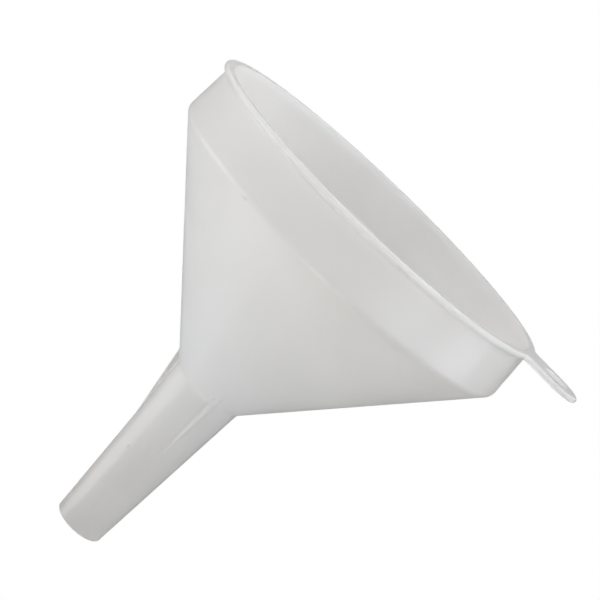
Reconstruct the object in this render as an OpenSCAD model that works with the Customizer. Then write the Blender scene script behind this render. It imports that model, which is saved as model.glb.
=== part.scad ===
// Liquid funnel in one translucent moulding: a wide bowl under an upright collar and a flanged
// rim, a long tapered spout with three air-gap ribs, and a flat tongue to hang it by.
// The mouth faces +Z, the tongue points along +X, and the origin is on the axis where the bowl
// meets the spout, which is where a bottle's neck holds it.
// The bowl, spout, rim, ribs and tongue come out of the mould as one piece. They are drawn as
// sections that meet face to face, with no gap and no overlap, so each keeps its own name.

/* [Mouth] */
// Outer diameter of the rim
rim_d = 170; // [150:1:190]
// Thickness of the rim's flange
lip_t = 2.4; // [2.2:0.1:4]
// How far the flange stands out past the collar
lip_overhang = 2.2; // [2.2:0.1:4]
// Round on the flange's outer edges
lip_round = 1; // [0.3:0.1:1]
// Width of the slope that braces the flange's underside against the collar
lip_brace = 1; // [0.3:0.1:1.1]
// Round on the mouth's inner edge
mouth_round = 0.6; // [0.2:0.1:1.2]

/* [Bowl] */
// Thickness of the moulded wall
wall = 1.8; // [1.2:0.1:2.4]
// Height from the bowl's throat to the rim's face
bowl_h = 105.5; // [90:0.5:120]
// Height of the collar, from the shoulder's corner to the rim's face
collar_h = 23.5; // [15:0.5:35]
// How much wider the collar's radius is at the shoulder than under the flange
collar_flare = 1.7; // [0:0.1:3]
// Outer radius of the bend between collar and cone
shoulder_r = 4; // [3:0.5:10]
// Outer radius of the bend between cone and spout
throat_r = 4.5; // [1:0.5:5]

/* [Spout] */
// Outer diameter of the spout at the throat
spout_top_d = 33.2; // [28:0.2:40]
// Outer diameter of the spout at the tip
spout_tip_d = 22.8; // [18:0.2:27]
// Length of the spout below the throat
spout_l = 82.5; // [60:0.5:110]
// Round on the tip's outer edge
tip_round = 0.5; // [0.2:0.1:0.8]

/* [Air-gap ribs] */
// Direction of the first rib, counted from the tongue
rib_first_angle = 60; // [0:5:90]
// Angle from one rib to the next
rib_spacing = 120; // [90:5:130]
// Distance from the axis to a rib's outer edge, where it meets the cone
rib_reach = 21; // [20:0.2:26]
// Length of the rib's outer edge down the spout, below the throat
rib_drop = 33.5; // [20:0.5:55]
// Thickness of a rib where it meets the cone
rib_top_t = 1.6; // [1.2:0.1:3]
// Thickness of a rib at its lower end
rib_end_t = 1; // [0.8:0.1:1.6]

/* [Hanging tongue] */
// How far the tongue stands out past the rim
tongue_reach = 24; // [20:0.5:40]
// Width of the tongue
tongue_w = 24; // [16:1:28]
// Diameter of the hole to hang the funnel by
hang_hole_d = 11; // [5:0.5:12]
// Radius of the fillets where the tongue leaves the rim
tongue_root_r = 3; // [1:0.5:5]

/* [Hidden] */
$fn = 96;
plastic = [0.86, 0.86, 0.85];
clear = 2; // how far a cutting shape runs past what it cuts

// Heights of the section planes along the axis
rim_z = bowl_h;
lip_z = rim_z - lip_t;
shoulder_z = rim_z - collar_h;
tip_z = -spout_l;

// The outer wall line, as [radius, height] corners from the flange down to the tip
rim_r = rim_d / 2;
collar_top = [rim_r - lip_overhang, lip_z];
shoulder_corner = [rim_r - lip_overhang + collar_flare, shoulder_z];
throat_corner = [spout_top_d / 2, 0];
tip_corner = [spout_tip_d / 2, tip_z];

function unit(v) = v / norm(v);
// Direction at right angles to the way from a to b: outward, when the way leads down the wall
function outward(a, b) = let (d = unit(b - a)) [-d[1], d[0]];
// Point where the line through p along u meets the line through q along v
function meet(p, u, q, v) = p + u * cross(q - p, v) / cross(u, v);
// Radius on the line through a and b at height z
function radius_at(a, b, z) = a[0] + (b[0] - a[0]) * (z - a[1]) / (b[1] - a[1]);
// Height on the same line at radius r
function height_at(a, b, r) = a[1] + (b[1] - a[1]) * (r - a[0]) / (b[0] - a[0]);

collar_out = outward(collar_top, shoulder_corner);
cone_out = outward(shoulder_corner, throat_corner);
spout_out = outward(throat_corner, tip_corner);

// Centre of a bend whose arc runs between two wall lines that meet at a corner. The centre is at
// distance r from both lines, and a negative r puts it outside the wall.
function bend_centre(before, corner, after, r) =
    let (n1 = outward(before, corner), n2 = outward(corner, after))
    meet(corner - n1 * r, corner - before, corner - n2 * r, after - corner);

shoulder_centre = bend_centre(collar_top, shoulder_corner, throat_corner, shoulder_r);
throat_centre = bend_centre(shoulder_corner, throat_corner, tip_corner, -throat_r);

// Points on the outer line where the straight stretches end and the bends begin
collar_end = shoulder_centre + collar_out * shoulder_r;
cone_start = shoulder_centre + cone_out * shoulder_r;
cone_end = throat_centre - cone_out * throat_r;
spout_start = throat_centre - spout_out * throat_r;

// Foot of the flange's brace, on the collar's outer line
brace_z = lip_z - lip_brace;
brace_foot = [radius_at(collar_top, shoulder_corner, brace_z), brace_z];

// The mouth's clear radius is the collar's inner radius under the flange
mouth_r = collar_top[0] - wall / collar_out[0];
// Distance from the axis to the centre of the tongue's round end
tongue_end_x = rim_r + tongue_reach - tongue_w / 2;
// The tongue's root reaches in past the flange's round to this radius, and sideways to the line
// from the axis through the centre of each root fillet
root_r = rim_r - lip_round;
fillet_y = tongue_w / 2 + tongue_root_r;
fillet_x = sqrt(pow(rim_r + tongue_root_r, 2) - pow(fillet_y, 2));

// Half outline of a straight stretch of wall, from a to b on the outer line
module wall_strip(a, b, out) {
    polygon([a, b, b - out * wall, a - out * wall]);
}

// Half outline of a bend: the ring between two radii, inside the wedge between two directions
module bend_strip(centre, r_small, r_large, from, to) {
    translate(centre)
        intersection() {
            difference() {
                circle(r_large);
                circle(r_small);
            }
            polygon([[0, 0], from * 2 * r_large, to * 2 * r_large]);
        }
}

// Everything inside the outer wall line from the tip to the cone, as one solid of revolution
module outer_envelope() {
    rotate_extrude()
        difference() {
            polygon([
                [0, tip_z], tip_corner, spout_start, cone_end, cone_start, [0, cone_start[1]]
            ]);
            translate(throat_centre) circle(throat_r);
        }
}

// Flange round the mouth, braced underneath, with its outer edges and the mouth's inner edge rounded
module lip_outline() {
    polygon([
        [mouth_r, lip_z],
        collar_top,
        brace_foot,
        [collar_top[0] + lip_brace, lip_z],
        [rim_r - lip_round, lip_z],
        [rim_r, lip_z + lip_round],
        [rim_r, rim_z - lip_round],
        [rim_r - lip_round, rim_z],
        [mouth_r + mouth_round, rim_z],
        [mouth_r, rim_z - mouth_round]
    ]);
    for (z = [lip_z + lip_round, rim_z - lip_round])
        translate([rim_r - lip_round, z]) circle(lip_round);
    translate([mouth_r + mouth_round, rim_z - mouth_round]) circle(mouth_round);
}

// Plan of the notch in the flange's edge that the tongue's root fills
module root_notch() {
    past = 1.1;
    difference() {
        polygon([[0, 0], [fillet_x, -fillet_y] * past, [fillet_x, fillet_y] * past]);
        circle(root_r);
    }
}

module rim_lip() {
    color(plastic)
        difference() {
            rotate_extrude() lip_outline();
            translate([0, 0, lip_z - clear]) linear_extrude(lip_t + 2 * clear) root_notch();
        }
}

// Upright band under the flange. Its top is level, so that it meets the flange all round.
module collar() {
    color(plastic)
        rotate_extrude()
            polygon([collar_top, collar_end, collar_end - collar_out * wall, [mouth_r, lip_z]]);
}

module shoulder() {
    color(plastic)
        rotate_extrude()
            bend_strip(shoulder_centre, shoulder_r - wall, shoulder_r, collar_out, cone_out);
}

module cone() {
    color(plastic) rotate_extrude() wall_strip(cone_start, cone_end, cone_out);
}

module throat() {
    color(plastic)
        rotate_extrude()
            bend_strip(throat_centre, throat_r, throat_r + wall, -cone_out, -spout_out);
}

// Tapered stem, cut square at the tip and rounded a little on its outer edge
module spout() {
    along = tip_corner - throat_corner;
    round_centre = meet(
        tip_corner - spout_out * tip_round, along, tip_corner + [0, tip_round], [1, 0]
    );
    inner_tip = meet(spout_start - spout_out * wall, along, tip_corner, [1, 0]);
    color(plastic)
        rotate_extrude() {
            polygon([
                spout_start - spout_out * wall,
                inner_tip,
                round_centre - [0, tip_round],
                round_centre + spout_out * tip_round,
                spout_start
            ]);
            translate(round_centre)
                intersection() {
                    circle(tip_round);
                    polygon([[0, 0], [0, -2 * tip_round], spout_out * 2 * tip_round]);
                }
        }
}

// One rib: a thin web in the corner under the cone, trimmed to the spout's and cone's surfaces.
// It is thicker at the cone than at its lower end.
module air_rib(number) {
    top = [rib_reach, height_at(throat_corner, shoulder_corner, rib_reach)];
    end = [radius_at(throat_corner, tip_corner, -rib_drop), -rib_drop];
    core = throat_r;
    color(plastic)
        rotate([0, 0, rib_first_angle + (number - 1) * rib_spacing])
            difference() {
                intersection() {
                    rotate([90, 0, 0])
                        linear_extrude(rib_top_t + 2 * clear, center = true)
                            polygon([end, top, top + [0, clear], [core, top[1] + clear], [core, end[1]]]);
                    rotate([90, 0, 90])
                        linear_extrude(rib_reach + clear)
                            polygon([
                                [-rib_end_t / 2, end[1]],
                                [rib_end_t / 2, end[1]],
                                [rib_top_t / 2, top[1]],
                                [rib_top_t / 2, top[1] + clear],
                                [-rib_top_t / 2, top[1] + clear],
                                [-rib_top_t / 2, top[1]]
                            ]);
                }
                outer_envelope();
            }
}

// Plan of the tongue, from its root in the flange to its round end. Its sides run into the rim's
// outline by way of a fillet.
module tongue_outline() {
    difference() {
        union() {
            translate([0, -tongue_w / 2]) square([tongue_end_x, tongue_w]);
            translate([tongue_end_x, 0]) circle(tongue_w / 2);
            polygon([[0, 0], [fillet_x, -fillet_y], [fillet_x, fillet_y]]);
        }
        for (side = [-1, 1])
            translate([fillet_x, side * fillet_y]) circle(tongue_root_r);
        circle(root_r);
    }
}

// Flat tongue level with the flange, with a round end and a hole concentric with it
module hanging_tongue() {
    color(plastic)
        difference() {
            translate([0, 0, lip_z]) linear_extrude(lip_t) tongue_outline();
            translate([tongue_end_x, 0, lip_z - clear])
                cylinder(d = hang_hole_d, h = lip_t + 2 * clear);
        }
}

module air_rib_1() { air_rib(1); }
module air_rib_2() { air_rib(2); }
module air_rib_3() { air_rib(3); }

rim_lip();
collar();
shoulder();
cone();
throat();
spout();
air_rib_1();
air_rib_2();
air_rib_3();
hanging_tongue();
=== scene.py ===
"""Looks of the funnel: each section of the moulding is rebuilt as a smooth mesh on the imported
CAD frame, in milky translucent plastic, on a plain pale floor in soft studio light."""

import math

import bmesh
import bpy
import numpy as np
from mathutils import Euler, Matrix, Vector
from mathutils.geometry import tessellate_polygon


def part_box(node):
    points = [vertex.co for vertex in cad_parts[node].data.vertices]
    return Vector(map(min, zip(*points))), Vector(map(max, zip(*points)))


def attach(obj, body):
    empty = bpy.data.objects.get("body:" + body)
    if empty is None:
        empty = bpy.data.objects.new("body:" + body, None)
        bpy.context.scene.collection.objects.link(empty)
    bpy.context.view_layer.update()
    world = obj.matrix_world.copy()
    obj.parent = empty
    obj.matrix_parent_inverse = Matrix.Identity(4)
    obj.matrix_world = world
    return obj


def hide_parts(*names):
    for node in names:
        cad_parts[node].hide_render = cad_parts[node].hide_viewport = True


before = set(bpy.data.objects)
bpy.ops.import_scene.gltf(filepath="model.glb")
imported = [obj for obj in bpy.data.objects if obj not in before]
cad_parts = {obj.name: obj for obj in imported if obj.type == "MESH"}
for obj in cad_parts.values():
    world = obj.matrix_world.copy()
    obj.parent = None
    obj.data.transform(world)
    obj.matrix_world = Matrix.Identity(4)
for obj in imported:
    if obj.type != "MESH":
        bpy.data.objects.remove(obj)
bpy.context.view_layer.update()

MM = 0.001

# Two points of CAD nodes closer than this are the same point
SAME = 0.01 * MM

# ---------------------------------------------------------------- the frame's own measures


def node_outline(node):
    """The distinct [radius, height] points of a turned CAD node, in metres."""
    co = np.array([v.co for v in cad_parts[node].data.vertices])
    points = np.column_stack([np.hypot(co[:, 0], co[:, 1]), co[:, 2]])
    return np.unique(points.round(6), axis=0)


def seam(above, below):
    """Outer and inner point of the face where two turned CAD nodes meet."""
    points = node_outline(above)
    others = node_outline(below)
    gaps = np.linalg.norm(points[:, None] - others[None], axis=2).min(axis=1)
    shared = points[gaps < SAME]
    return shared[shared[:, 0].argmax()], shared[shared[:, 0].argmin()]


def level_ends(node, z):
    """Outer and inner point of a turned CAD node at height z, where it ends level."""
    points = node_outline(node)
    points = points[np.abs(points[:, 1] - z) < SAME]
    return points[points[:, 0].argmax()], points[points[:, 0].argmin()]


def meet(p, u, q, v):
    """Point where the line through p along u meets the line through q along v."""
    along = np.linalg.solve(np.column_stack([u, -v]), q - p)
    return p + u * along[0]


collar_top = level_ends("collar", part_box("collar")[1].z)
collar_bottom = seam("collar", "shoulder")
cone_top = seam("cone", "shoulder")
cone_bottom = seam("cone", "throat")
spout_top = seam("spout", "throat")

RIM_R = -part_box("rim_lip")[0].x
LIP_Z, RIM_Z = (corner.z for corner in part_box("hanging_tongue"))
TIP_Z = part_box("spout")[0].z
MOUTH_R = collar_top[1][0]

# The flange's underside is braced against the collar, down to this point on the collar's outside
brace_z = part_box("rim_lip")[0].z
brace_share = (brace_z - collar_top[0][1]) / (collar_bottom[0][1] - collar_top[0][1])
brace_foot = collar_top[0] + (collar_bottom[0] - collar_top[0]) * brace_share
JOINTS = [collar_top, (collar_top[0], brace_foot), collar_bottom, cone_top, cone_bottom, spout_top]

# The tongue is widest at its root, and its sides are straight from this far beyond the flange
ROOT_LENGTH = 6 * MM
tongue_co = np.array([v.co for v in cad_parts["hanging_tongue"].data.vertices])
ROOT_ANGLE = math.asin(tongue_co[:, 1].max() / RIM_R)
TONGUE_HALF = tongue_co[tongue_co[:, 0] > RIM_R + ROOT_LENGTH, 1].max()
TONGUE_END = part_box("hanging_tongue")[1].x - TONGUE_HALF
HOLE_R = np.hypot(tongue_co[:, 0] - TONGUE_END, tongue_co[:, 1]).min()

# ---------------------------------------------------------------- mesh tools

# How finely the meshes are divided: round the axis, along the walls and across their end faces,
# round the bends, over the flange and its edges, then the ribs and the tongue
AROUND = 360
WALL_STEPS = 40
COLLAR_STEPS = 10
END_STEPS = 2
BEND_STEPS = 10
OUTER_LINE_STEPS = 16
FLANGE_STEPS = 3
EDGE_STEPS = 6
MOUTH_STEPS = 5
INNER_TIP_STEPS = 3
RIB_LEVELS = 48
RIB_FILLET_STEPS = 4
ROOT_STEPS = 8
TONGUE_FILLET_STEPS = 10
TONGUE_SIDE_STEPS = 8
TONGUE_END_STEPS = 32
HOLE_STEPS = 96

# Radii of the rounded edges
LIP_ROUND = 1.0 * MM
MOUTH_ROUND = 0.6 * MM
TIP_ROUND = 0.5 * MM
HOLE_ROUND = 0.5 * MM

# A rib is sunk in the wall, runs out into it beyond each end, has fillets at its root and a round
# nose, and is at least a sliver deep
RIB_SINK = 0.4 * MM
RIB_RUN_OUT = 1.2 * MM
RIB_FILLET = 1.3 * MM
RIB_NOSE = 0.7 * MM
RIB_SLIVER = 0.05 * MM

# Points closer than WELD become one, and points nearer than ON_JOINT to a joint lie on it
WELD = 0.002 * MM
ON_JOINT = 0.005 * MM

# Edges sharper than this, and faces whose normal is this close to upright, aren't smoothed
SHARP = math.radians(45)
UPRIGHT = 0.9999


def arc(centre, radius, start, end, steps):
    """Points on an arc from angle start to angle end, in degrees, both ends included."""
    angles = np.radians(np.linspace(start, end, steps + 1))
    return [centre + radius * np.array([math.cos(a), math.sin(a)]) for a in angles]


def stretch(a, b, steps):
    """Points from a up to, but not including, b, evenly spaced."""
    return [a + (b - a) * i / steps for i in range(steps)]


def bend_arcs(above, below, steps):
    """Outer and inner arc of the bend that joins one wall's end face to the next one's."""
    centre = meet(above[0], above[1] - above[0], below[0], below[1] - below[0])
    arcs = []
    for start, end in zip(above, below):
        first, last = (math.degrees(math.atan2(*(p - centre)[::-1])) for p in (start, end))
        turn = (last - first + 180) % 360 - 180
        arcs.append(arc(centre, np.linalg.norm(start - centre), first, first + turn, steps))
    return arcs


def outer_line():
    """Points [radius, height] up the outer surface, from the tip to the cone's top."""
    bend, _ = bend_arcs(cone_bottom, spout_top, OUTER_LINE_STEPS)
    tip = node_outline("spout")
    tip = tip[tip[:, 1] < TIP_Z + TIP_ROUND + WELD]
    return np.array([cone_top[0], *bend, tip[tip[:, 0].argmax()]])[::-1]


OUTER_LINE = outer_line()


def outer_radius(z):
    """Radius of the outer surface at height z, up to the cone's top."""
    return np.interp(z, OUTER_LINE[:, 1], OUTER_LINE[:, 0])


def rib_measures(name):
    """Bearing of a CAD rib, then its top and its lower end, each with the nose's [radius, height]
    and half the thickness."""
    co = np.array([v.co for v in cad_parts[name].data.vertices])
    radii = np.hypot(co[:, 0], co[:, 1])
    bearing = math.atan2(co[:, 1].mean(), co[:, 0].mean())
    across = -co[:, 0] * math.sin(bearing) + co[:, 1] * math.cos(bearing)
    far = radii > radii.max() - RIB_SLIVER
    low = co[:, 2] < co[:, 2].min() + RIB_SLIVER
    top = (np.array([radii.max(), co[far, 2].mean()]), across[far].max())
    end = (np.array([radii[low].max(), co[:, 2].min()]), across[low].max())
    return bearing, top, end


RIBS = {name: rib_measures(name) for name in ("air_rib_1", "air_rib_2", "air_rib_3")}


def rib_section(name, z):
    """Nose radius and half thickness of a rib at height z."""
    _, (top, half_top), (end, half_end) = RIBS[name]
    share = (z - end[1]) / (top[1] - end[1])
    nose = end[0] + (top[0] - end[0]) * share
    return nose, half_end + (half_top - half_end) * np.clip(share, 0, 1)


def under_rib(co, name):
    """Which points lie inside a rib, or on the moulding's outer surface under it."""
    bearing, (top, _), (end, _) = RIBS[name]
    nose, half = rib_section(name, co[:, 2])
    surface = outer_radius(co[:, 2])
    out = co[:, 0] * math.cos(bearing) + co[:, 1] * math.sin(bearing)
    across = co[:, 1] * math.cos(bearing) - co[:, 0] * math.sin(bearing)
    radii = np.hypot(out, across)
    level = (co[:, 2] > end[1] - RIB_RUN_OUT - WELD) & (co[:, 2] < top[1] + RIB_RUN_OUT + WELD)
    in_wall = (radii > surface - RIB_SINK - WELD) & (radii < surface + WELD)
    return level & in_wall & (out > 0) & (np.abs(across) < half + RIB_FILLET) & (nose > surface)


def joint_faces(mesh):
    """The faces that lie where two sections of the moulding meet, as a list of true or false."""
    co = np.array([v.co for v in mesh.vertices])
    points = np.column_stack([np.hypot(co[:, 0], co[:, 1]), co[:, 2]])
    angles = np.abs(np.arctan2(co[:, 1], co[:, 0]))
    root_r = RIM_R - LIP_ROUND
    turn_close = ON_JOINT / RIM_R
    on_joint = []
    for outer, inner in JOINTS:
        along = inner - outer
        share = np.clip((points - outer) @ along / (along @ along), 0, 1)
        gap = np.linalg.norm(points - outer - share[:, None] * along, axis=1)
        on_joint.append(gap < ON_JOINT)
    in_root = (angles < ROOT_ANGLE + turn_close) & (points[:, 1] > LIP_Z - ON_JOINT)
    on_joint.append(in_root & (np.abs(points[:, 0] - root_r) < ON_JOINT))
    at_side = np.abs(angles - ROOT_ANGLE) < turn_close
    on_joint.append((points[:, 0] > root_r - ON_JOINT) & at_side)
    on_joint.extend(under_rib(co, name) for name in RIBS)
    on_joint = np.array(on_joint)
    return [bool(on_joint[:, list(face.vertices)].all(axis=1).any()) for face in mesh.polygons]


def new_piece(name, verts, faces):
    """A mesh object that replaces the CAD node of its name: welded, with outward normals, smooth
    except on level faces and at sharp edges, and with its hidden faces in the second material."""
    mesh = bpy.data.meshes.new(name)
    mesh.from_pydata([tuple(v) for v in verts], [], faces)
    bm = bmesh.new()
    bm.from_mesh(mesh)
    bmesh.ops.remove_doubles(bm, verts=bm.verts, dist=WELD)
    bmesh.ops.dissolve_degenerate(bm, edges=bm.edges, dist=WELD)
    bmesh.ops.recalc_face_normals(bm, faces=bm.faces)
    bm.normal_update()
    for face in bm.faces:
        face.smooth = abs(face.normal.z) < UPRIGHT
    for edge in bm.edges:
        edge.smooth = edge.is_manifold and edge.calc_face_angle(0) < SHARP
    bm.to_mesh(mesh)
    bm.free()
    mesh.polygons.foreach_set("material_index", [int(hidden) for hidden in joint_faces(mesh)])
    piece = bpy.data.objects.new(name, mesh)
    bpy.context.scene.collection.objects.link(piece)
    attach(piece, "root")
    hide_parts(name)
    return piece


def revolved(name, rings):
    """A closed ring through these outlines, each an angle and a list of [radius, height]."""
    count = len(rings[0][1])
    verts = [(r * math.cos(a), r * math.sin(a), z) for a, outline in rings for r, z in outline]
    faces = []
    for k in range(len(rings)):
        here = k * count
        there = (k + 1) % len(rings) * count
        for i in range(count):
            j = (i + 1) % count
            faces.append((here + i, there + i, there + j, here + j))
    return new_piece(name, verts, faces)


def turned(name, outline):
    """A closed ring with the same outline all round the axis."""
    return revolved(name, [(2 * math.pi * k / AROUND, outline) for k in range(AROUND)])


def straight_wall(name, top, bottom, steps, mark=None):
    """A stretch of wall between two end faces, each an outer and an inner point. Mark is a point
    between them on the outer side that the mesh keeps."""
    first = top[0] if mark is None else mark
    outline = [] if mark is None else [top[0]]
    outline += stretch(first, bottom[0], steps)
    outline += stretch(bottom[0], bottom[1], END_STEPS)
    outline += stretch(bottom[1], top[1], steps)
    outline += stretch(top[1], top[0], END_STEPS)
    return turned(name, outline)


def bend_wall(name, above, below):
    """The bend between the end faces of the walls above and below it."""
    outer, inner = bend_arcs(above, below, BEND_STEPS)
    return turned(name, outer + inner[::-1])


# ---------------------------------------------------------------- the funnel's sections


def build_rim_lip():
    """Flange round the mouth. Where the tongue's root fills its edge, the edge is cut back."""
    outer = RIM_R - LIP_ROUND
    brace = LIP_Z - brace_z
    fillet = np.array([brace_foot[0] + brace, brace_z])
    outline = stretch(collar_top[1], collar_top[0], END_STEPS)
    outline += stretch(collar_top[0], brace_foot, END_STEPS)
    outline += arc(fillet, brace, 180, 90, EDGE_STEPS)
    outline += arc(np.array([outer, LIP_Z + LIP_ROUND]), LIP_ROUND, -90, 0, EDGE_STEPS)
    outline += arc(np.array([outer, RIM_Z - LIP_ROUND]), LIP_ROUND, 0, 90, EDGE_STEPS)
    mouth = np.array([MOUTH_R + MOUTH_ROUND, RIM_Z - MOUTH_ROUND])
    outline += stretch(np.array([outer, RIM_Z]), mouth + [0, MOUTH_ROUND], FLANGE_STEPS)[1:]
    outline += arc(mouth, MOUTH_ROUND, 90, 180, MOUTH_STEPS)
    outline = np.array(outline)
    notched = outline.copy()
    notched[:, 0] = np.minimum(notched[:, 0], outer)
    whole = np.linspace(ROOT_ANGLE, 2 * math.pi - ROOT_ANGLE, AROUND)
    cut = np.linspace(-ROOT_ANGLE, ROOT_ANGLE, 2 * ROOT_STEPS + 1)
    return revolved("rim_lip", [(a, outline) for a in whole] + [(a, notched) for a in cut])


def build_spout():
    """Tapered stem with rounded edges at its square-cut tip."""
    top_outer, top_inner = spout_top
    tip = node_outline("spout")
    tip = tip[tip[:, 1] < TIP_Z + WELD]
    inner_tip = np.array([tip[:, 0].min(), TIP_Z])
    along = inner_tip - top_inner
    out = np.array([-along[1], along[0]]) / np.linalg.norm(along)
    level = np.array([1.0, 0.0])
    centre = meet(top_outer - out * TIP_ROUND, along, np.array([0, TIP_Z + TIP_ROUND]), level)
    tilt = math.degrees(math.atan2(out[1], out[0]))
    outline = stretch(top_outer, centre + out * TIP_ROUND, WALL_STEPS)
    outline += arc(centre, TIP_ROUND, tilt, -90, EDGE_STEPS)
    inner_round = TIP_ROUND / 2
    inner_centre = inner_tip + [inner_round, inner_round]
    outline += arc(inner_centre, inner_round, -90, -180, INNER_TIP_STEPS)
    inner_end = inner_tip - along / np.linalg.norm(along) * TIP_ROUND
    outline += stretch(inner_end, top_inner, WALL_STEPS)
    outline += stretch(top_inner, top_outer, END_STEPS)
    return turned("spout", outline)


def band(here, there, count):
    """Faces between two closed loops of this many vertices, whose first vertices are given."""
    steps = [(i, (i + 1) % count) for i in range(count)]
    return [(here + i, here + j, there + j, there + i) for i, j in steps]


def build_rib(name):
    """A thin web in the corner under the cone, with a round nose and a fillet on each side of its
    root, whose base is sunk in the wall."""
    bearing, (top, _), (end, _) = RIBS[name]
    verts = []
    for z in np.linspace(end[1] - RIB_RUN_OUT, top[1] + RIB_RUN_OUT, RIB_LEVELS):
        nose, half = rib_section(name, z)
        surface = outer_radius(z)
        base = surface - RIB_SINK
        nose = max(nose, base + RIB_SLIVER)
        root = min(surface, nose)
        round_r = min(half, RIB_NOSE, (nose - root) / 2)
        fillet = min(RIB_FILLET, (nose - root) / 2)
        side = [(base, half + fillet)]
        for turn in np.linspace(0, math.pi / 2, RIB_FILLET_STEPS + 1):
            side.append((
                root + fillet * (1 - math.cos(turn)),
                half + fillet * (1 - math.sin(turn)),
            ))
        for turn in np.linspace(0, math.pi / 2, EDGE_STEPS + 1):
            side.append((
                nose - round_r * (1 - math.sin(turn)),
                half - round_r * (1 - math.cos(turn)),
            ))
        for r, w in side + [(r, -w) for r, w in side[::-1]]:
            x = r * math.cos(bearing) - w * math.sin(bearing)
            y = r * math.sin(bearing) + w * math.cos(bearing)
            verts.append((x, y, z))
    count = len(verts) // RIB_LEVELS
    starts = [k * count for k in range(RIB_LEVELS)]
    faces = []
    for here, there in zip(starts, starts[1:]):
        faces += band(here, there, count)
    faces.append(tuple(range(count)))
    faces.append(tuple(range(starts[-1], starts[-1] + count)))
    return new_piece(name, verts, faces)


def tongue_sides(inset):
    """Half of the tongue's plan, from the middle of its root round to its far end. The free edge
    is moved in by inset, and the root stays on the circle where the flange is cut back."""
    centre_dir = np.array([math.cos(ROOT_ANGLE), math.sin(ROOT_ANGLE)])
    fillet_r = (RIM_R * centre_dir[1] - TONGUE_HALF) / (1 - centre_dir[1])
    centre = centre_dir * (RIM_R + fillet_r)
    root_r = RIM_R - LIP_ROUND
    turns = np.linspace(0, ROOT_ANGLE, ROOT_STEPS + 1)
    root = [root_r * np.array([math.cos(a), math.sin(a)]) for a in turns]
    edge = stretch(root[-1], centre_dir * (RIM_R - inset), FLANGE_STEPS)[1:]
    start = math.degrees(ROOT_ANGLE) + 180
    fillet = arc(centre, fillet_r + inset, start, 270, TONGUE_FILLET_STEPS)
    end = np.array([TONGUE_END, 0.0])
    side = stretch(fillet[-1], end + [0, TONGUE_HALF - inset], TONGUE_SIDE_STEPS)[1:]
    tip = arc(end, TONGUE_HALF - inset, 90, 0, TONGUE_END_STEPS)
    return root + edge + fillet + side + tip


def build_tongue():
    """Flat tongue with rounded edges and a hole, whose root fills the cut in the flange."""
    half_t = (RIM_Z - LIP_Z) / 2
    mid_z = (RIM_Z + LIP_Z) / 2
    turns = np.linspace(0, math.pi / 2, EDGE_STEPS + 1)
    edge = [(LIP_ROUND * (1 - math.cos(t)), half_t - LIP_ROUND * (1 - math.sin(t))) for t in turns]
    edge = [(inset, -z) for inset, z in edge[::-1]] + edge
    bore = [(HOLE_ROUND * (1 - math.sin(t)), half_t - HOLE_ROUND * (1 - math.cos(t))) for t in turns]
    bore += [(grow, -z) for grow, z in bore[::-1]]
    edge_loops = []
    for inset, z in edge:
        half = tongue_sides(inset)
        plan = half + [p * [1, -1] for p in half[-2:0:-1]]
        edge_loops.append([(x, y, mid_z + z) for x, y in plan])
    bore_loops = []
    for grow, z in bore:
        plan = arc(np.array([TONGUE_END, 0]), HOLE_R + grow, 0, 360, HOLE_STEPS)[:-1]
        bore_loops.append([(x, y, mid_z + z) for x, y in plan])
    loops = edge_loops + bore_loops
    starts = [sum(len(loop) for loop in loops[:k]) for k in range(len(loops))]
    last_edge = len(edge_loops) - 1
    faces = []
    for k in range(len(loops) - 1):
        if k != last_edge:
            faces += band(starts[k], starts[k + 1], len(loops[k]))
    verts = [point for loop in loops for point in loop]
    for rim, hole in ((last_edge, last_edge + 1), (0, len(loops) - 1)):
        outside = []
        for i, point in enumerate(loops[rim]):
            if math.dist(point, loops[rim][i - 1]) > WELD:
                outside.append(starts[rim] + i)
        inside = list(range(starts[hole], starts[hole] + len(loops[hole])))
        corners = outside + inside
        outlines = [[Vector(verts[corner]) for corner in side] for side in (outside, inside)]
        faces += [tuple(corners[i] for i in tri) for tri in tessellate_polygon(outlines)]
    return new_piece("hanging_tongue", verts, faces)


pieces = [
    build_rim_lip(),
    straight_wall("collar", collar_top, collar_bottom, COLLAR_STEPS, brace_foot),
    bend_wall("shoulder", collar_bottom, cone_top),
    straight_wall("cone", cone_top, cone_bottom, WALL_STEPS),
    bend_wall("throat", cone_bottom, spout_top),
    build_spout(),
    *(build_rib(name) for name in RIBS),
    build_tongue(),
]

# ---------------------------------------------------------------- the plastic

# Small pimples and a pit of the moulding: bearing in degrees, height above the spout's tip, width
# and rise
PIMPLES = [
    (-106.8, 163.9 * MM, 2.6 * MM, -0.40 * MM),
    (-109.5, 43.7 * MM, 2.4 * MM, 0.30 * MM),
    (-107.3, 125.4 * MM, 3.6 * MM, 0.10 * MM),
    (-122.1, 142.1 * MM, 2.0 * MM, 0.12 * MM),
]

# Widths of the surface's grain, ripple and clouds, and how far the first two rise
GRAIN = 0.9 * MM
GRAIN_RISE = 0.005 * MM
RIPPLE = 11 * MM
RIPPLE_RISE = 0.04 * MM
CLOUD = 24 * MM

# Smooth noise stays mostly between these
NOISE_LOW = 0.15
NOISE_HIGH = 0.85

# The plastic's tones, the tone and the share of the light that passes through it, and its gloss
WHITE = (1, 1, 1, 1)
TONES = (0.945, 0.945, 0.948, 1), (0.92, 0.92, 0.917, 1)
THROUGH_TONE = (0.95, 0.951, 0.946, 1)
THROUGH_SHARE = (0.54, 0.66)
ROUGHNESS = (0.08, 0.2)
SPECULAR = 0.8
IOR = 1.49


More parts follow.
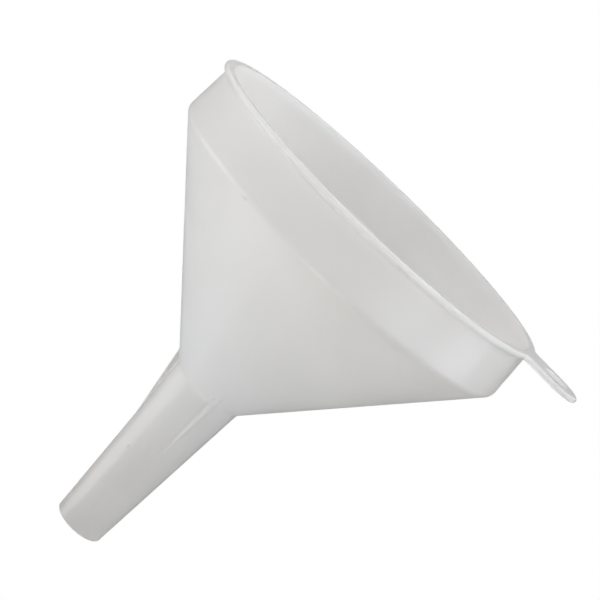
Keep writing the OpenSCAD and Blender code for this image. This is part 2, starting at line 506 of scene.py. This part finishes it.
def milky_plastic():
    """Natural polypropylene: satin, faintly cloudy and uneven, and it lets soft light through."""
    material = bpy.data.materials.new("milky_plastic")
    material.use_nodes = True
    tree = material.node_tree
    tree.nodes.clear()
    add = tree.nodes.new
    link = tree.links.new
    place = add("ShaderNodeTexCoord")

    def noise(feature, detail):
        """Smooth noise with features of about this width."""
        node = add("ShaderNodeTexNoise")
        node.inputs["Scale"].default_value = 1 / feature
        node.inputs["Detail"].default_value = detail
        link(place.outputs["Object"], node.inputs["Vector"])
        return node.outputs[0]

    def ramp(value, start, end, low, high):
        """Goes from low, where the value is at start, to high at end, with soft ends."""
        node = add("ShaderNodeMapRange")
        node.interpolation_type = "SMOOTHSTEP"
        node.inputs["From Min"].default_value = start
        node.inputs["From Max"].default_value = end
        node.inputs["To Min"].default_value = low
        node.inputs["To Max"].default_value = high
        link(value, node.inputs["Value"])
        return node.outputs[0]

    def spread(feature, detail, low, high):
        """Smooth noise, its usual range stretched from low to high."""
        return ramp(noise(feature, detail), NOISE_LOW, NOISE_HIGH, low, high)

    def total(first, second):
        """The sum of two values."""
        node = add("ShaderNodeMath")
        link(first, node.inputs[0])
        link(second, node.inputs[1])
        return node.outputs[0]

    def pimple(bearing, height, width, rise):
        """A soft round bump, or pit, centred on the outer surface."""
        z = TIP_Z + height
        turn = math.radians(bearing)
        radius = outer_radius(z)
        gap = add("ShaderNodeVectorMath")
        gap.operation = "DISTANCE"
        gap.inputs[1].default_value = (radius * math.cos(turn), radius * math.sin(turn), z)
        link(place.outputs["Object"], gap.inputs[0])
        return ramp(gap.outputs["Value"], 0, width / 2, rise, 0)

    tone = add("ShaderNodeMix")
    tone.data_type = "RGBA"
    tone_factor, tone_first, tone_second = (tone.inputs[i] for i in (0, 6, 7))
    tone_first.default_value, tone_second.default_value = TONES
    link(spread(CLOUD, 3, 0, 1), tone_factor)
    height = total(spread(GRAIN, 2, 0, GRAIN_RISE), spread(RIPPLE, 0, 0, RIPPLE_RISE))
    for mark in PIMPLES:
        height = total(height, pimple(*mark))
    bump = add("ShaderNodeBump")
    bump.inputs["Strength"].default_value = 1
    bump.inputs["Distance"].default_value = 1
    link(height, bump.inputs["Height"])
    body = add("ShaderNodeBsdfPrincipled")
    body.inputs["IOR"].default_value = IOR
    body.inputs["Specular IOR Level"].default_value = SPECULAR
    link(tone.outputs[2], body.inputs["Base Color"])
    link(spread(RIPPLE, 4, *ROUGHNESS), body.inputs["Roughness"])
    link(bump.outputs[0], body.inputs["Normal"])
    through = add("ShaderNodeBsdfTranslucent")
    through.inputs["Color"].default_value = THROUGH_TONE
    link(bump.outputs[0], through.inputs["Normal"])
    mix = add("ShaderNodeMixShader")
    link(spread(CLOUD, 2, *THROUGH_SHARE), mix.inputs[0])
    link(body.outputs[0], mix.inputs[1])
    link(through.outputs[0], mix.inputs[2])
    output = add("ShaderNodeOutputMaterial")
    link(mix.outputs[0], output.inputs["Surface"])
    return material


def plastic_core():
    """Inside of the wall, where two sections meet: clear, so that no seam shows."""
    material = bpy.data.materials.new("plastic_core")
    material.use_nodes = True
    tree = material.node_tree
    tree.nodes.remove(tree.nodes["Principled BSDF"])
    clear = tree.nodes.new("ShaderNodeBsdfTransparent")
    clear.inputs["Color"].default_value = WHITE
    tree.links.new(clear.outputs[0], tree.nodes["Material Output"].inputs["Surface"])
    return material


plastic = milky_plastic()
core = plastic_core()
for piece in pieces:
    piece.data.materials.append(plastic)
    piece.data.materials.append(core)

# ---------------------------------------------------------------- floor, light and camera

# The floor's tone and roughness, then half its side and its depth below the tip, in metres
FLOOR_TONE = (0.3, 0.3, 0.3, 1)
FLOOR_ROUGHNESS = 0.9
FLOOR_HALF = 6.0
FLOOR_DROP = 0.8


def floor_white():
    """Pale floor that lights the object as a matt surface and looks white to the camera."""
    material = bpy.data.materials.new("floor_white")
    material.use_nodes = True
    tree = material.node_tree
    matt = tree.nodes["Principled BSDF"]
    matt.inputs["Base Color"].default_value = FLOOR_TONE
    matt.inputs["Roughness"].default_value = FLOOR_ROUGHNESS
    glow = tree.nodes.new("ShaderNodeEmission")
    ray = tree.nodes.new("ShaderNodeLightPath")
    mix = tree.nodes.new("ShaderNodeMixShader")
    tree.links.new(ray.outputs["Is Camera Ray"], mix.inputs[0])
    tree.links.new(matt.outputs[0], mix.inputs[1])
    tree.links.new(glow.outputs[0], mix.inputs[2])
    tree.links.new(mix.outputs[0], tree.nodes["Material Output"].inputs["Surface"])
    return material


def build_floor():
    """A wide level square, well below the spout's tip."""
    mesh = bpy.data.meshes.new("floor")
    half = FLOOR_HALF
    z = TIP_Z - FLOOR_DROP
    corners = [(-half, -half, z), (half, -half, z), (half, half, z), (-half, half, z)]
    mesh.from_pydata(corners, [], [(0, 1, 2, 3)])
    floor = bpy.data.objects.new("floor", mesh)
    bpy.context.scene.collection.objects.link(floor)
    mesh.materials.append(floor_white())


# Sides of the scene and heights of the lights, in degrees
FRONT, LEFT, RIGHT, BACK = 280, 190, 10, 100
BELOW, HIGH, STEEP, OVERHEAD = -60, 28, 60, 89

# Tints of the lights
PLAIN = (1, 0.98, 0.98)
DAY = (0.98, 0.99, 0.98)
COOL = (0.9, 0.93, 1)
SKY = (0.78, 0.89, 1)
WARM = (1, 0.92, 0.8)
LAMP = (1, 0.77, 0.52)

# Soft boxes: name, bearing, elevation, width and height in metres, watts, tint
SIDE = 0.55
LIGHTS = [
    ("front", FRONT, HIGH, SIDE, SIDE, 2.4, DAY),
    ("front_left", FRONT - 45, HIGH, SIDE, SIDE, 1.4, PLAIN),
    ("front_right", FRONT + 45, HIGH, SIDE, SIDE, 1.6, COOL),
    ("front_below", FRONT, BELOW, SIDE, SIDE, 2.3, WARM),
    ("front_window", FRONT + 50, 3, 0.48, 0.3, 0.5, COOL),
    ("left", LEFT, 0, SIDE, SIDE, 0.4, COOL),
    ("left_high", LEFT, HIGH, SIDE, SIDE, 1.4, DAY),
    ("left_panel", LEFT + 6, -24, 0.92, 0.5, 2.9, PLAIN),
    ("left_below", LEFT, BELOW, SIDE, SIDE, 0.6, SKY),
    ("right", RIGHT, 0, SIDE, SIDE, 1.0, PLAIN),
    ("right_window", RIGHT + 2, 3, 0.32, 0.3, 0.1, COOL),
    ("right_high", RIGHT, HIGH, SIDE, SIDE, 0.8, COOL),
    ("right_top", RIGHT, STEEP, SIDE, SIDE, 3.3, COOL),
    ("top", RIGHT, OVERHEAD, SIDE, SIDE, 0.7, WARM),
    ("back_top", BACK, STEEP, SIDE, SIDE, 2.6, SKY),
    ("back_left", BACK + 45, HIGH, SIDE, SIDE, 1.3, LAMP),
    ("back_right", BACK - 45, HIGH, SIDE, SIDE, 1.1, LAMP),
]

# Every light is this far, in metres, from the point that it faces
LIGHT_DISTANCE = 0.9
LIT_CENTRE = Vector((0, 0, 30 * MM))


def soft_light(name, bearing, elevation, size, power, colour):
    """A rounded soft box that faces the middle of the funnel."""
    data = bpy.data.lights.new(name, "AREA")
    data.shape = "ELLIPSE"
    data.size, data.size_y = size
    data.energy = power
    data.color = colour
    light = bpy.data.objects.new(name, data)
    bpy.context.scene.collection.objects.link(light)
    turn = math.radians(bearing)
    rise = math.radians(elevation)
    level = math.cos(rise)
    towards = Vector((level * math.cos(turn), level * math.sin(turn), math.sin(rise)))
    light.location = LIT_CENTRE + towards * LIGHT_DISTANCE
    light.rotation_euler = towards.to_track_quat("Z", "Y").to_euler()


def build_world():
    """A backdrop that looks white to the camera and gives no light, which the soft boxes do."""
    world = bpy.data.worlds.new("studio")
    bpy.context.scene.world = world
    world.use_nodes = True
    tree = world.node_tree
    backdrop = tree.nodes["Background"]
    backdrop.inputs["Color"].default_value = WHITE
    ray = tree.nodes.new("ShaderNodeLightPath")
    tree.links.new(ray.outputs["Is Camera Ray"], backdrop.inputs["Strength"])


# Camera: sensor and lens in millimetres, its bearing round the axis from -Y, its downward pitch and
# its roll in degrees, then how far it is to the right, back from the axis and above the rim
SENSOR = 36
LENS = 95.9
CAMERA_BEARING = 10
CAMERA_PITCH = 11.46
CAMERA_ROLL = 43.95
CAMERA_RIGHT = 2.1 * MM
CAMERA_BACK = 641 * MM
CAMERA_RISE = 77.9 * MM


def build_camera():
    """The scene's camera, which looks across and down at the funnel and is rolled to tilt it."""
    data = bpy.data.cameras.new("camera")
    data.sensor_width = SENSOR
    data.lens = LENS
    camera = bpy.data.objects.new("camera", data)
    bpy.context.scene.collection.objects.link(camera)
    around = Euler((0, 0, math.radians(CAMERA_BEARING))).to_matrix()
    look = Euler((math.pi / 2 - math.radians(CAMERA_PITCH), 0, 0)).to_matrix()
    turn = Euler((0, 0, math.radians(CAMERA_ROLL))).to_matrix()
    camera.rotation_euler = (around @ look @ turn).to_euler()
    camera.location = around @ Vector((CAMERA_RIGHT, -CAMERA_BACK, RIM_Z + CAMERA_RISE))
    bpy.context.scene.camera = camera


build_floor()
build_camera()
build_world()
for name, bearing, elevation, width, height, power, colour in LIGHTS:
    soft_light(name, bearing, elevation, (width, height), power, colour)

# Light crosses the thin translucent walls many times before it leaves
DIFFUSE_BOUNCES = 16
BOUNCES = 32
scene = bpy.context.scene
scene.view_settings.view_transform = "Standard"
scene.cycles.diffuse_bounces = DIFFUSE_BOUNCES
scene.cycles.max_bounces = BOUNCES
scene.cycles.transmission_bounces = BOUNCES
scene.cycles.transparent_max_bounces = BOUNCES
